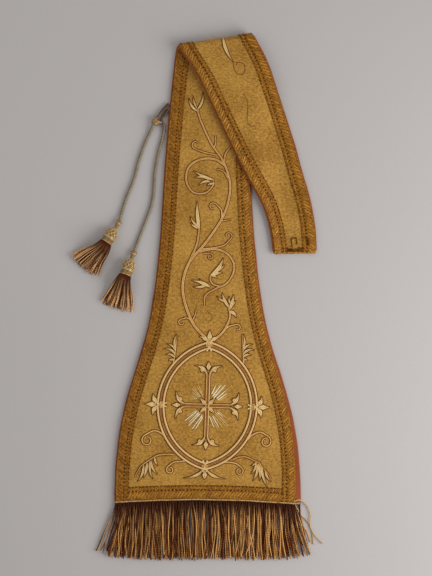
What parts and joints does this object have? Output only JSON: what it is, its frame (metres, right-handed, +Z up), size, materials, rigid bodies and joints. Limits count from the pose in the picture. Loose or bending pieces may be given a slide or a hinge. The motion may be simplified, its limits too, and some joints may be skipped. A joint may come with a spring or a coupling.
{
  "type": "clerical stole",
  "caption": "Clerical stole of gold cloth with embroidered medallion, braid edges, fringed hem and a tasselled cord, folded and laid flat.",
  "frame": {"origin": "middle of the underside of the stole as it lies folded, its tassels left out", "axes": "+X to the right across the panel, +Y from the fringed hem towards the fold, +Z up from the surface it lies on"},
  "size_m": [0.3462, 0.7355, 0.0212],
  "materials": {
    "gold_cloth": "woven gold cloth with a soft metallic sheen",
    "lining": "terracotta lining, satin",
    "braid": "herringbone galloon braid of gilt thread",
    "fringe": "twisted bullion strands, old gold",
    "cording": "couched coppery gold cord",
    "gold_thread": "pale gold satin stitch",
    "cord": "twisted metallic cord, dulled",
    "tassel": "netted gilt head over bullion strands"
  },
  "bodies": {
    "root": {"front_cloth": "gold_cloth", "back_cloth": "gold_cloth", "linings": "lining", "front_braid_left": "braid", "front_braid_right": "braid", "front_braid_hem": "braid", "back_braid_left": "braid", "back_braid_right": "braid", "fringe_front": "fringe", "fringe_back": "fringe", "medallion": "cording", "cross": "cording", "vine": "cording", "spray_low_left": "gold_thread", "spray_low_right": "gold_thread", "spray_high_left": "gold_thread", "spray_high_right": "gold_thread", "strip_leaf": "gold_thread", "cord_left_above_knot": "cord", "cord_left_below_knot": "cord", "cord_right_above_knot": "cord", "cord_right_below_knot": "cord", "cord_knot": "cord", "tassel_left": "tassel", "tassel_right": "tassel"}
  },
  "joints": []
}
